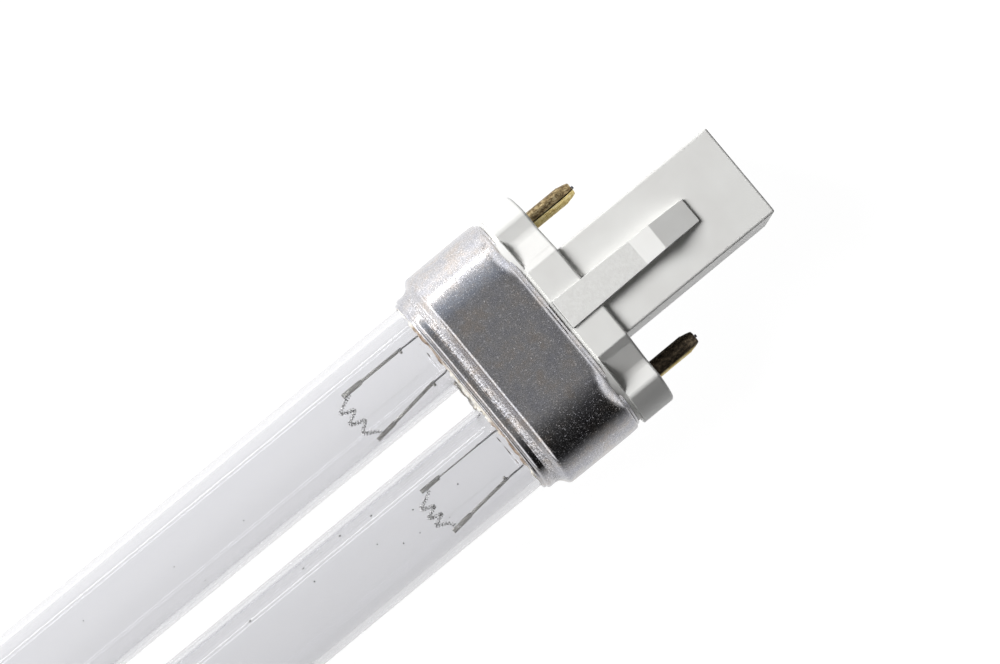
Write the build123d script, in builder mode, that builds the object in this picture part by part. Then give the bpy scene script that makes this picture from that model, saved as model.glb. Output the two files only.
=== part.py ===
"""Twin-tube plug-in germicidal lamp, lying on its broad side.

Millimetres. +X runs along the lamp towards the plug, +Y across both tubes, +Z up.
The origin is under the middle of the lamp, on the surface it lies on.
Stations along the lamp are measured from the seat plane, the face of the cap that
the lamp holder meets: positive towards the plug, negative towards the glass.
"""

from build123d import *
import os

# Overall
glass_reach = 144.7  # seat plane to the far ends of the tubes
plug_reach = 22.6  # seat plane to the end of the plug block

# Glass
tube_diameter = 12.0
tube_pitch = 15.0
glass_wall = 0.95
tube_end_radius = 4.2
bridge_diameter = 7.4
bridge_setback = 9.0
round_end = 19.4  # where the round tube starts to flatten
pinch_start = 15.2
pinch_end = 11.6
pinch_thickness = 3.0
exhaust_diameter = 2.6
exhaust_length = 3.0
bead_diameter = 1.3
bead_sides = 8
bead_setback = 30.0

# Electrodes and their lead wires
wire_diameter = 0.4
wire_sides = 8
wire_clearance = 0.02
joint_station = 14.0  # butt weld between lead and post, inside the pinch
strip_start = 21.7
strip_width = 0.6
strip_thickness = 0.2
clamp_start = 27.4
clamp_thickness = 0.5
clamp_growth = 0.12
post_end = 30.3
coil_diameter = 1.7
coil_turns = 3
coil_wire = 0.3
coil_sides = 4
coil_overhang = 0.5  # the coil's axis is this far beyond the posts' ends
coil_clearance = 0.06
outer_post_offset_a = 2.1  # from the tube's axis to the post by each pin
inner_post_offset_a = 3.4
inner_post_lean_a = 1.15
inner_post_offset_b = 2.45
outer_post_offset_b = 2.8
outer_post_lean_b = 0.8

# Shell and cement
shell_wall = 0.35
cement_above = 1.9
cement_beside = 0.5
cement_end = 14.8
cement_clearance = 0.02
cement_rise = 0.35  # crust that stands out of the collar
shell_step = 1.25
rim_station = 4.6
shoulder_station = 15.6
shoulder_fillet = 1.4
collar_top = 17.1
collar_end = 18.65
collar_nose = 0.3
crimp_radius = 1.3
crimp_depth = 0.5
crimp_length = 2.8
crimp_across = 10.2
crimp_station = 5.7

# Plug moulding
seat_thickness = 2.2
plug_wall = 1.2
skirt_clearance = 0.05
skirt_end = 12.6
valley_depth = 1.2
valley_outer = 12.65
valley_inner = 7.3
shoulder_half_width = 6.45
shoulder_drop = 0.2
flange_chamfer = 0.3
block_width = 12.8
block_depth = 16.8
block_edge_radius = 0.9
block_end_chamfer = 0.4
rib_root_width = 4.0
rib_nose_width = 3.3
rib_height = 9.7
rib_ramp_start = 6.9
rib_peak_station = 9.8
rib_peak_height = 10.4
rib_nose_station = 15.0
rib_nose_height = 8.8

# Contact pins
pin_pitch = 23.0
pin_diameter = 2.35
pin_shank_diameter = 2.7  # in the seat, and a little proud of it
pin_shank_rise = 0.1
pin_bore = 1.6
pin_shoulder = 5.2
pin_step = 0.06
pin_tip_diameter = 1.66
pin_length = 6.55
pin_tip_wall = 0.7
pin_head_diameter = 3.4
pin_head_thickness = 0.5
pin_clearance = 0.02
pin_seam = 0.16
pin_wire_poke = 0.25

# Starter, hidden in the plug block
starter_diameter = 7.2
starter_wall = 0.6
starter_height = 2.4
starter_base = 1.0
starter_pinch = 2.6
starter_pinch_width = 5.4
starter_pinch_thickness = 2.4
starter_length = 17.0
starter_lead_offset = 1.6
bimetal_thickness = 0.35
bimetal_width = 2.2
bimetal_reach = 9.5
capacitor_width = 6.5
capacitor_length = 10.0
capacitor_thickness = 3.5
capacitor_start = 3.0
capacitor_below = 4.4
capacitor_edge = 0.8
leg_station = 0.5
lead_bend = 1.6
lead_bend_start = 7.5
lead_bend_end = 3.4
sleeve_diameter = 1.2
sleeve_length = 3.4

# Worked out from the sizes above
tube_radius = tube_diameter / 2
tube_offset = tube_pitch / 2
pin_offset = pin_pitch / 2
wire_radius = wire_diameter / 2
wire_hole = wire_radius + wire_clearance
collar_radius = tube_radius + cement_above + shell_wall
end_offset = tube_offset + tube_radius + cement_beside + shell_wall - collar_radius
shell_radius = collar_radius + shell_step
flange_radius = shell_radius
skirt_radius = shell_radius - shell_wall - skirt_clearance
outer_post_a = tube_offset + outer_post_offset_a
inner_post_a = tube_offset - inner_post_offset_a
inner_post_b = -tube_offset + inner_post_offset_b
outer_post_b = -tube_offset - outer_post_offset_b

# Planes at the middle of the seat: ACROSS looks along the lamp, PLAN down on it, FLANK across it
seat = Vector((glass_reach - plug_reach) / 2, 0, max(rib_peak_height, shell_radius))
ACROSS = Plane(origin=seat, x_dir=(0, 1, 0), z_dir=(1, 0, 0))
PLAN = Plane(origin=seat)
FLANK = Plane(origin=seat, x_dir=(1, 0, 0), z_dir=(0, -1, 0))

os.makedirs("parts", exist_ok=True)


def save(part, name):
    """Labels a finished piece and writes it to its file."""
    part.label = name
    export_step(part, f"parts/{name}.step")


# Glass envelope: two legs joined by a bridge, each pressed flat at the cap end
def twin_tube(inset):
    """The envelope's outer form, or its cavity where inset is the wall."""
    radius = tube_radius - inset
    flat_station = pinch_start + 2 * inset
    flat_height = pinch_thickness / 2 - inset
    with BuildPart() as form:
        with BuildSketch(ACROSS.offset(-flat_station)):
            with Locations((tube_offset, 0), (-tube_offset, 0)):
                Circle(radius)
        extrude(amount=-(glass_reach - inset - flat_station))
        far_edges = form.edges().filter_by(GeomType.CIRCLE).group_by(Axis.X)[0]
        if inset:
            chamfer(far_edges, (2 - 2**0.5) * (tube_end_radius - inset))
        else:
            fillet(far_edges, tube_end_radius)
        with BuildSketch(FLANK):
            with Locations((bridge_setback - glass_reach, 0)):
                Circle(bridge_diameter / 2 - inset)
        extrude(amount=tube_offset, both=True)
        with BuildSketch(FLANK):
            with BuildLine():
                Polyline(
                    (-round_end, radius),
                    (-flat_station, flat_height),
                    (-flat_station, radius),
                    close=True,
                )
            make_face()
            mirror(about=Plane.XZ)
        extrude(amount=tube_pitch, both=True, mode=Mode.SUBTRACT)
    return form.part


def pinch_plates():
    """The flat pressed ends of both legs."""
    with BuildPart() as plates:
        with BuildSketch(ACROSS.offset(-pinch_start)) as section:
            with Locations((tube_offset, 0), (-tube_offset, 0)):
                Circle(tube_radius)
            Rectangle(2 * tube_pitch, pinch_thickness, mode=Mode.INTERSECT)
        extrude(amount=pinch_start - pinch_end)
    return plates.part


outer_glass = twin_tube(0)
glass_cavity = twin_tube(glass_wall)

with BuildPart() as glass_envelope:
    add(outer_glass)
    add(pinch_plates())
    with BuildSketch(ACROSS.offset(-pinch_end)):
        with Locations((-tube_offset, 0)):
            Circle(exhaust_diameter / 2)
    extrude(amount=exhaust_length)
    chamfer(glass_envelope.faces().sort_by(Axis.X)[-1].edges(), exhaust_diameter / 4)
    add(glass_cavity, mode=Mode.SUBTRACT)
    with BuildSketch(ACROSS.offset(-round_end)):
        with Locations(*[(y, 0) for y in (outer_post_a, inner_post_a, inner_post_b, outer_post_b)]):
            Circle(wire_hole)
    extrude(amount=round_end - pinch_end, mode=Mode.SUBTRACT)
save(glass_envelope.part, "glass_envelope")

with BuildPart() as mercury_bead:
    bead_height = bead_diameter / 2 + wire_clearance + glass_wall - tube_radius
    bead_plane = Plane(origin=PLAN.from_local_coords(Vector(bead_setback - glass_reach, -tube_offset, bead_height)))
    with BuildSketch(bead_plane):
        RegularPolygon(bead_diameter / 2, bead_sides)
        with Locations((-bead_diameter / 2, 0)):
            Rectangle(bead_diameter, bead_diameter, mode=Mode.SUBTRACT)
    revolve(axis=Axis(bead_plane.origin, (0, 1, 0)))
save(mercury_bead.part, "mercury_bead")


# Electrode posts: a round wire out of the pinch, then a flat strip folded over the coil's end
def electrode_post(name, across, lean, turned):
    """A post at that place across the lamp. lean moves its end, turned shows its edge from above."""
    strip_root = Vector(-strip_start, across, 0)
    strip_tip = Vector(-post_end, across + lean, 0)
    along = (strip_tip - strip_root).normalized()
    length = (strip_tip - strip_root).length
    clamp_length = length * (post_end - clamp_start) / (post_end - strip_start)
    wide, thin = (strip_thickness, strip_width) if turned else (strip_width, strip_thickness)
    strip_plane = Plane(origin=PLAN.from_local_coords(strip_root), x_dir=(0, 0, 1), z_dir=along)
    with BuildPart() as post:
        with BuildSketch(ACROSS.offset(-joint_station)):
            with Locations((across, 0)):
                Circle(wire_radius)
        extrude(amount=-(strip_start - joint_station))
        with BuildSketch(strip_plane.offset(-wire_diameter)):
            Rectangle(thin, wide)
        extrude(amount=length + wire_diameter)
        with BuildSketch(strip_plane.offset(length - clamp_length)):
            Rectangle(max(thin, clamp_thickness), wide + clamp_growth)
        extrude(amount=clamp_length)
    save(post.part, name)
    return across + lean


end_a1 = electrode_post("electrode_post_a1", outer_post_a, 0, turned=False)
end_a2 = electrode_post("electrode_post_a2", inner_post_a, -inner_post_lean_a, turned=False)
end_b1 = electrode_post("electrode_post_b1", inner_post_b, 0, turned=True)
end_b2 = electrode_post("electrode_post_b2", outer_post_b, -outer_post_lean_b, turned=False)


# Cathode coils: a helix hung between two clamps
def cathode_coil(name, high, low, high_half, low_half):
    """A coil whose two ends lie beside the clamps and stop short of them by the coil's clearance."""
    start = high - high_half - coil_clearance - coil_wire / 2
    stop = low + low_half + coil_clearance + coil_wire / 2
    with BuildPart() as coil:
        with BuildLine():
            turns = Helix((start - stop) / coil_turns, start - stop, (coil_diameter - coil_wire) / 2)
        with BuildSketch(turns ^ 0):
            RegularPolygon(coil_wire / 2, coil_sides)
        sweep(path=turns, is_frenet=True)
    middle = PLAN.from_local_coords(Vector(-post_end - coil_overhang, start, 0))
    save(Plane(origin=middle, x_dir=(1, 0, 0), z_dir=(0, -1, 0)).location * coil.part, name)


wide_clamp = (strip_width + clamp_growth) / 2
narrow_clamp = (strip_thickness + clamp_growth) / 2
cathode_coil("cathode_coil_a", end_a1, end_a2, wide_clamp, wide_clamp)
cathode_coil("cathode_coil_b", end_b1, end_b2, narrow_clamp, wide_clamp)


# Lead wires from the posts to the pins and to the starter
def lead_wire(name, *route):
    """A wire along a route of points, given from the seat, with round bends."""
    with BuildPart() as wire:
        with BuildLine(PLAN) as path:
            FilletPolyline(*route, radius=lead_bend)
        with BuildSketch(path.line ^ 0):
            RegularPolygon(wire_radius, wire_sides)
        sweep()
    save(wire.part, name)


wire_end = pin_length + pin_wire_poke
for name, across, side in (("lead_in_wire_a1", outer_post_a, 1), ("lead_in_wire_b2", outer_post_b, -1)):
    lead_wire(
        name,
        (-joint_station, across, 0),
        (-lead_bend_start, across, 0),
        (-lead_bend_end, side * pin_offset, 0),
        (wire_end, side * pin_offset, 0),
    )
for name, across, side in (("lead_in_wire_a2", inner_post_a, 1), ("lead_in_wire_b1", inner_post_b, -1)):
    lead_wire(
        name,
        (-joint_station, across, 0),
        (-lead_bend_start, across, 0),
        (-lead_bend_end, side * starter_lead_offset, starter_height),
        (starter_base + starter_pinch, side * starter_lead_offset, starter_height),
    )

for name, across in (("insulating_sleeve_a", inner_post_a), ("insulating_sleeve_b", inner_post_b)):
    with BuildPart() as sleeve:
        with BuildSketch(ACROSS.offset(-pinch_end + wire_clearance)):
            with Locations((across, 0)):
                RegularPolygon(sleeve_diameter / 2, wire_sides)
                Circle(wire_hole, mode=Mode.SUBTRACT)
        extrude(amount=sleeve_length)
    save(sleeve.part, name)


# Metal shell: a wall drawn to a stadium, stepped in to a collar with a round nose
def outer_profile():
    """Half of the shell's side view, run past the open rim."""
    with BuildSketch() as profile:
        with BuildLine():
            Polyline(
                (shell_wall - rim_station, 0),
                (-collar_end - shell_wall, 0),
                (-collar_end - shell_wall, collar_radius - collar_nose),
                (-collar_end, collar_radius - collar_nose),
                (-collar_end + collar_nose, collar_radius),
                (-collar_top, collar_radius),
            )
            FilletPolyline(
                (-collar_top, collar_radius),
                (-shoulder_station, shell_radius),
                (shell_wall - rim_station, shell_radius),
                (shell_wall - rim_station, 0),
                radius=(shoulder_fillet, 0),
            )
        make_face()
    return profile.sketch


def inner_profile():
    """Half of the shell's hollow, a wall inside the outer profile, run past both rims."""
    with BuildSketch() as profile:
        with BuildLine():
            Polyline(
                (shell_wall - rim_station, 0),
                (-collar_end - shell_wall, 0),
                (-collar_end - shell_wall, collar_radius - collar_nose - shell_wall),
                (-collar_end, collar_radius - collar_nose - shell_wall),
                (-collar_end + collar_nose, collar_radius - shell_wall),
                (shell_wall - collar_top, collar_radius - shell_wall),
                (shell_wall - shoulder_station, shell_radius - shell_wall),
                (shell_wall - rim_station, shell_radius - shell_wall),
                close=True,
            )
        make_face()
    return profile.sketch


def drawn_form(profile):
    """The half profile turned round both ends of the stadium and run straight between them."""
    with BuildPart() as form:
        with BuildSketch(FLANK.offset(-end_offset)):
            add(profile)
        revolve(axis=Axis(PLAN.from_local_coords(Vector(0, end_offset, 0)), (1, 0, 0)))
        mirror(about=Plane.XZ)
        with BuildSketch(FLANK):
            add(profile)
            mirror(about=Plane.XZ)
        extrude(amount=end_offset, both=True)
    return form.part


def crimp_bars(growth):
    """Four bars laid along the shell's curve, as far in as the crimp tool presses."""
    lean = (crimp_across - end_offset) / shell_radius
    normal = Vector(0, lean, (1 - lean**2) ** 0.5)
    reach = shell_radius + crimp_radius - crimp_depth
    centre = Vector(-crimp_station, end_offset, 0) + normal * reach
    along = normal.cross(Vector(1, 0, 0))
    with BuildPart() as bars:
        with Locations(Plane(origin=PLAN.from_local_coords(centre), x_dir=(1, 0, 0), z_dir=along)):
            Cylinder(crimp_radius + growth, crimp_length + 2 * growth)
        mirror(about=Plane.XZ)
        mirror(about=PLAN)
    return bars.part


with BuildPart() as shell_hollow:
    add(drawn_form(inner_profile()))
    add(crimp_bars(shell_wall), mode=Mode.SUBTRACT)

with BuildPart() as metal_shell:
    add(drawn_form(outer_profile()))
    add(crimp_bars(0), mode=Mode.SUBTRACT)
    add(shell_hollow.part, mode=Mode.SUBTRACT)
    with BuildSketch(ACROSS.offset(-rim_station)):
        Rectangle(4 * shell_radius, 4 * shell_radius)
    extrude(amount=rim_station - collar_end, mode=Mode.INTERSECT)
save(metal_shell.part, "metal_shell")

with BuildPart() as basing_cement:
    cement_radius = collar_radius - shell_wall - cement_clearance
    with BuildSketch(ACROSS.offset(collar_nose - collar_end)):
        SlotCenterToCenter(2 * end_offset, 2 * cement_radius)
    extrude(amount=collar_end - collar_nose - cement_end)
    with BuildSketch(ACROSS.offset(-collar_end - cement_rise)):
        SlotCenterToCenter(2 * end_offset, 2 * (cement_radius - collar_nose))
    extrude(amount=cement_rise + collar_nose)
    add(outer_glass, mode=Mode.SUBTRACT)
    add(pinch_plates(), mode=Mode.SUBTRACT)
save(basing_cement.part, "basing_cement")


# Plug moulding: skirt in the shell, flange, hollow block and latch ribs
def valley_section(inset):
    """The flange's section: a stadium with a flat shoulder and a shallow valley beside it."""
    radius = flange_radius - inset
    shoulder = radius - shoulder_drop
    crease = (radius**2 - (valley_outer - end_offset) ** 2) ** 0.5
    valley_middle = (valley_inner + valley_outer) / 2
    valley_floor = (radius**2 - (valley_middle - end_offset) ** 2) ** 0.5 - valley_depth
    foot = shoulder - (valley_inner - shoulder_half_width)
    with BuildSketch() as section:
        with BuildLine():
            Polyline((0, 0), (0, shoulder), (shoulder_half_width, shoulder), (valley_inner, foot))
            ThreePointArc((valley_inner, foot), (valley_middle, valley_floor), (valley_outer, crease))
            RadiusArc((valley_outer, crease), (end_offset + radius, 0), radius)
            Line((end_offset + radius, 0), (0, 0))
        make_face()
        mirror(about=Plane.XZ)
        mirror(about=Plane.YZ)
    return section.sketch


with BuildPart() as latch_rib:
    with BuildSketch(FLANK):
        with BuildLine():
            Polyline(
                (-rim_station, 0),
                (-rim_station, rib_height),
                (rib_ramp_start, rib_height),
                (rib_peak_station, rib_peak_height),
                (rib_nose_station, rib_nose_height),
                (rib_nose_station, 0),
                close=True,
            )
        make_face()
    extrude(amount=rib_root_width, both=True)
    with BuildSketch(PLAN):
        with BuildLine():
            Polyline(
                (-rim_station, rib_root_width / 2),
                (rib_nose_station, rib_nose_width / 2),
                (rib_nose_station, -rib_nose_width / 2),
                (-rim_station, -rib_root_width / 2),
                close=True,
            )
        make_face()
    extrude(amount=rib_peak_height, mode=Mode.INTERSECT)

with BuildPart() as plug_body:
    with BuildSketch(ACROSS.offset(-rim_station)):
        add(valley_section(0))
    extrude(amount=rim_station)
    chamfer(plug_body.faces().sort_by(Axis.X)[-1].edges(), flange_chamfer)
    with BuildSketch(ACROSS.offset(-rim_station)):
        add(valley_section(flange_radius - skirt_radius))
    extrude(amount=rim_station - skirt_end)
    with BuildSketch(ACROSS.offset(-seat_thickness)):
        RectangleRounded(block_width, block_depth, block_edge_radius)
    extrude(amount=plug_reach + seat_thickness)
    chamfer(plug_body.faces().sort_by(Axis.X)[-1].edges(), block_end_chamfer)
    add(latch_rib.part)
    add(mirror(latch_rib.part, about=PLAN))
    with BuildSketch(ACROSS.offset(-skirt_end)):
        add(valley_section(flange_radius - skirt_radius + plug_wall))
    extrude(amount=skirt_end - seat_thickness, mode=Mode.SUBTRACT)
    with BuildSketch(ACROSS.offset(-skirt_end)):
        Rectangle(block_width - 2 * plug_wall, block_depth - 2 * plug_wall)
    extrude(amount=skirt_end + plug_reach - plug_wall, mode=Mode.SUBTRACT)
    with BuildSketch(ACROSS.offset(-seat_thickness)):
        with Locations((pin_offset, 0), (-pin_offset, 0)):
            Circle(pin_shank_diameter / 2 + pin_clearance)
    extrude(amount=seat_thickness, mode=Mode.SUBTRACT)
save(plug_body.part, "plug_body")

# Contact pins: hollow, with a head behind the seat, a conical tip and a lengthwise seam
for name, side in (("contact_pin_a", 1), ("contact_pin_b", -1)):
    with BuildPart() as pin:
        with BuildSketch(PLAN):
            with BuildLine():
                Polyline(
                    (-seat_thickness - pin_head_thickness, side * pin_offset + pin_bore / 2),
                    (-seat_thickness - pin_head_thickness, side * pin_offset + pin_head_diameter / 2),
                    (-seat_thickness, side * pin_offset + pin_head_diameter / 2),
                    (-seat_thickness, side * pin_offset + pin_shank_diameter / 2),
                    (pin_shank_rise, side * pin_offset + pin_shank_diameter / 2),
                    (pin_shank_rise, side * pin_offset + pin_diameter / 2),
                    (pin_shoulder, side * pin_offset + pin_diameter / 2),
                    (pin_shoulder, side * pin_offset + pin_diameter / 2 - pin_step),
                    (pin_length, side * pin_offset + pin_tip_diameter / 2),
                    (pin_length, side * pin_offset + wire_hole),
                    (pin_length - pin_tip_wall, side * pin_offset + wire_hole),
                    (pin_shoulder - pin_tip_wall, side * pin_offset + pin_bore / 2),
                    close=True,
                )
            make_face()
        revolve(axis=Axis(PLAN.from_local_coords(Vector(0, side * pin_offset, 0)), (1, 0, 0)))
        with BuildSketch(PLAN):
            with Locations((0, side * pin_offset)):
                Rectangle(2 * pin_length, pin_seam)
        extrude(amount=pin_head_diameter, mode=Mode.SUBTRACT)
    save(pin.part, name)

# Glow starter: a pressed glass bulb with its bimetal strip and its fixed electrode
starter_cavity = starter_base + starter_pinch
starter_end = starter_base + starter_length
starter_radius = starter_diameter / 2
STARTER = PLAN.offset(starter_height)


def starter_form(inset):
    """The starter bulb's round outer form, or its cavity where inset is the wall."""
    low = starter_cavity - starter_wall + inset
    high = starter_end - inset
    radius = starter_radius - inset
    with BuildPart() as form:
        with BuildSketch(STARTER):
            with BuildLine():
                Polyline(
                    (low, 0),
                    (low, radius),
                    (high, radius),
                    (high, 0),
                    close=True,
                )
            make_face()
        revolve(axis=Axis(STARTER.origin, (1, 0, 0)))
    return form.part


with BuildPart() as starter_bulb:
    add(starter_form(0))
    with BuildSketch(ACROSS.offset(starter_base)):
        with Locations((0, starter_height)):
            SlotOverall(starter_pinch_width, starter_pinch_thickness)
    extrude(amount=starter_pinch - starter_wall / 2)
    add(starter_form(starter_wall), mode=Mode.SUBTRACT)
    with BuildSketch(ACROSS.offset(starter_base)):
        with Locations((starter_lead_offset, starter_height), (-starter_lead_offset, starter_height)):
            Circle(wire_hole)
    extrude(amount=starter_pinch + starter_wall / 2, mode=Mode.SUBTRACT)
save(starter_bulb.part, "starter_bulb")

with BuildPart() as starter_bimetal:
    with BuildSketch(STARTER):
        with BuildLine():
            FilletPolyline(
                (starter_cavity + wire_clearance, starter_lead_offset),
                (starter_cavity + bimetal_reach, starter_lead_offset),
                (starter_cavity + bimetal_reach, 0),
                (starter_cavity + bimetal_reach / 2, 0),
                radius=starter_lead_offset / 2 - wire_clearance,
            )
        trace(line_width=bimetal_thickness)
    extrude(amount=bimetal_width / 2, both=True)
save(starter_bimetal.part, "starter_bimetal")

with BuildPart() as starter_fixed_electrode:
    with BuildLine(STARTER) as electrode_path:
        FilletPolyline(
            (starter_cavity + wire_clearance, -starter_lead_offset),
            (starter_cavity + bimetal_reach / 2, -starter_lead_offset),
            (starter_cavity + bimetal_reach, wire_diameter - starter_lead_offset),
            radius=lead_bend,
        )
    with BuildSketch(electrode_path.line ^ 0):
        RegularPolygon(wire_radius, wire_sides)
    sweep()
save(starter_fixed_electrode.part, "starter_fixed_electrode")

with BuildPart() as suppression_capacitor:
    with BuildSketch(ACROSS.offset(capacitor_start)):
        with Locations((0, -capacitor_below)):
            RectangleRounded(capacitor_width, capacitor_thickness, capacitor_edge)
    extrude(amount=capacitor_length)
    for side in (1, -1):
        with BuildLine(FLANK.offset(-side * starter_lead_offset)) as leg_path:
            FilletPolyline(
                (capacitor_start + capacitor_edge, -capacitor_below),
                (-leg_station, -capacitor_below),
                (-leg_station, starter_height - wire_radius - wire_clearance),
                radius=lead_bend,
            )
        with BuildSketch(leg_path.line ^ 0):
            RegularPolygon(wire_radius, wire_sides)
        sweep(path=leg_path.line)
save(suppression_capacitor.part, "suppression_capacitor")
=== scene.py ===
"""Looks for the twin-tube germicidal lamp: quartz legs, cathodes, metal shell, plug moulding and pins.

Pieces are modelled in millimetres from the seat of the plug, the lamp's axis at height 0:
X along the lamp (positive towards the plug block), Y across both tubes, Z up.
"""

import math

import bmesh
import bpy
from mathutils import Matrix, Vector, noise


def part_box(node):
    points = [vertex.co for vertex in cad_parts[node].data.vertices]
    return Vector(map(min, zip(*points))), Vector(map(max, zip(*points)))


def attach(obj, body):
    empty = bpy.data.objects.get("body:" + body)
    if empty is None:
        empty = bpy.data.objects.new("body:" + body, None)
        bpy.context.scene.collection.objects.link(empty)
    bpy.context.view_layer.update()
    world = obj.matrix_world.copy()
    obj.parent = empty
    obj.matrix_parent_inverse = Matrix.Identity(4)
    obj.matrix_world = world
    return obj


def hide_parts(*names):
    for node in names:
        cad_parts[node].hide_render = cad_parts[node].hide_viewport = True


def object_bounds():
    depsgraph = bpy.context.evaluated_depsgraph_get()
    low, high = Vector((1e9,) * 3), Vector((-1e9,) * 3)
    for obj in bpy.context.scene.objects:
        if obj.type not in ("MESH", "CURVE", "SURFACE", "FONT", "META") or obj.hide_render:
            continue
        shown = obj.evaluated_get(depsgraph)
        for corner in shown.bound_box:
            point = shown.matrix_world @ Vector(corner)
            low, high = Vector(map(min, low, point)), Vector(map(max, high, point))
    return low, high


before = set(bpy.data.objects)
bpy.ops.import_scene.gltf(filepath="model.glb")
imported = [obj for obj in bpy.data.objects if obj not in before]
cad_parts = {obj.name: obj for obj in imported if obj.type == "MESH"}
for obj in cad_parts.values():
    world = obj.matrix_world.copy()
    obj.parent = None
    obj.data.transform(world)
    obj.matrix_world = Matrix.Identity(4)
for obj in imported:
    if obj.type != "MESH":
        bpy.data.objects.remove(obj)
cad_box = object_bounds()
scene = bpy.context.scene
scene.view_settings.view_transform = "Standard"

MM = 0.001
PLUG_REACH = 22.6
plug_low, plug_high = (Vector(corner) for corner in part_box("plug_body"))
SEAT = Vector((plug_high.x - PLUG_REACH * MM, 0, (plug_low.z + plug_high.z) / 2))
LAMP = Matrix.Translation(SEAT) @ Matrix.Scale(MM, 4)


# Camera
camera_data = bpy.data.cameras.new("Camera")
camera_data.lens = 170.08
camera_data.sensor_width = 36
camera_data.clip_start = 0.01
camera_data.clip_end = 20
camera = bpy.data.objects.new("Camera", camera_data)
camera.location = (0.02154, -0.02751, 0.5704)
camera.rotation_euler = (math.radians(4.312), math.radians(-0.222), math.radians(-39.566))
scene.collection.objects.link(camera)
scene.camera = camera


# Materials
class Graph:
    """A node tree that is built node by node."""

    def __init__(self, tree):
        self.nodes, self.links = tree.nodes, tree.links

    def ramp(self, value, stops):
        """Colours or greys along a value. Stops are (position, colour or grey)."""
        node = self.nodes.new("ShaderNodeValToRGB")
        elements = node.color_ramp.elements
        while len(elements) < len(stops):
            elements.new(0.5)
        for element, (position, colour) in zip(elements, stops):
            element.position = position
            element.color = (*colour, 1) if isinstance(colour, tuple) else (colour, colour, colour, 1)
        self.links.new(value, node.inputs["Fac"])
        return node.outputs["Color"]

    def mix(self, factor, first, second, blend="MIX"):
        """Mixes two colours, each a socket or a plain colour."""
        node = self.nodes.new("ShaderNodeMix")
        node.data_type = "RGBA"
        node.blend_type = blend
        for socket, value in ((node.inputs[0], factor), (node.inputs[6], first), (node.inputs[7], second)):
            if isinstance(value, bpy.types.NodeSocket):
                self.links.new(value, socket)
            elif isinstance(value, tuple):
                socket.default_value = (*value, 1)
            else:
                socket.default_value = value
        return node.outputs[2]

    def maths(self, operation, first, second):
        """The product, maximum or the like of two values."""
        node = self.nodes.new("ShaderNodeMath")
        node.operation = operation
        for socket, value in zip(node.inputs, (first, second)):
            self.links.new(value, socket)
        return node.outputs[0]

    def spread(self, value, low, high):
        """Stretches low to high over 0 to 1."""
        node = self.nodes.new("ShaderNodeMapRange")
        node.inputs["From Min"].default_value = low
        node.inputs["From Max"].default_value = high
        self.links.new(value, node.inputs["Value"])
        return node.outputs["Result"]

    def parts(self, vector):
        """The X, Y and Z of a vector."""
        node = self.nodes.new("ShaderNodeSeparateXYZ")
        self.links.new(vector, node.inputs[0])
        return node.outputs


class Finish(Graph):
    """A procedural material round one Principled shader."""

    def __init__(self, name, **settings):
        self.material = bpy.data.materials.new(name)
        self.material.use_nodes = True
        super().__init__(self.material.node_tree)
        self.shader = self.nodes["Principled BSDF"]
        for setting, value in settings.items():
            self.shader.inputs[setting.replace("_", " ")].default_value = value
        self.place = self.nodes.new("ShaderNodeTexCoord").outputs["Object"]

    def mapped(self, stretch):
        """Object coordinates, stretched."""
        mapping = self.nodes.new("ShaderNodeMapping")
        mapping.inputs["Scale"].default_value = stretch
        self.links.new(self.place, mapping.inputs["Vector"])
        return mapping.outputs["Vector"]

    def grain(self, size, detail=3.0, rough=0.55, stretch=(1, 1, 1)):
        """Noise whose lumps are about size millimetres across."""
        node = self.nodes.new("ShaderNodeTexNoise")
        node.inputs["Scale"].default_value = 1.0 / (size * MM)
        node.inputs["Detail"].default_value = detail
        node.inputs["Roughness"].default_value = rough
        self.links.new(self.mapped(stretch), node.inputs["Vector"])
        return node.outputs["Fac"]

    def cells(self, size):
        """Distance in a Voronoi pattern whose cells are about size millimetres across."""
        node = self.nodes.new("ShaderNodeTexVoronoi")
        node.inputs["Scale"].default_value = 1.0 / (size * MM)
        self.links.new(self.place, node.inputs["Vector"])
        return node.outputs["Distance"]

    def stretch_of_lamp(self, low, high, soft):
        """1 between two stations along the lamp, fading to 0 beyond them."""
        along = self.parts(self.place)[0]
        rise = self.spread(along, SEAT.x + (low - soft) * MM, SEAT.x + low * MM)
        fall = self.spread(along, SEAT.x + (high + soft) * MM, SEAT.x + high * MM)
        return self.maths("MULTIPLY", rise, fall)

    def colour(self, socket):
        self.links.new(socket, self.shader.inputs["Base Color"])

    def roughness(self, socket):
        self.links.new(socket, self.shader.inputs["Roughness"])

    def bump(self, height, strength, depth):
        """Bumps of depth millimetres at full height, added to those that are there already."""
        node = self.nodes.new("ShaderNodeBump")
        node.inputs["Strength"].default_value = strength
        node.inputs["Distance"].default_value = depth * MM
        self.links.new(height, node.inputs["Height"])
        normal = self.shader.inputs["Normal"]
        if normal.links:
            self.links.new(normal.links[0].from_socket, node.inputs["Normal"])
        self.links.new(node.outputs["Normal"], normal)


def quartz(name, tint, wave):
    """Clear fused glass with faint draw lines along the tube."""
    glass = Finish(name, Base_Color=(*tint, 1), Roughness=0.0, IOR=1.46, Transmission_Weight=1.0)
    glass.bump(glass.grain(1.1, 1.0, 0.4, (0.002, 1, 1)), wave, 0.03)
    return glass.material


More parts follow.
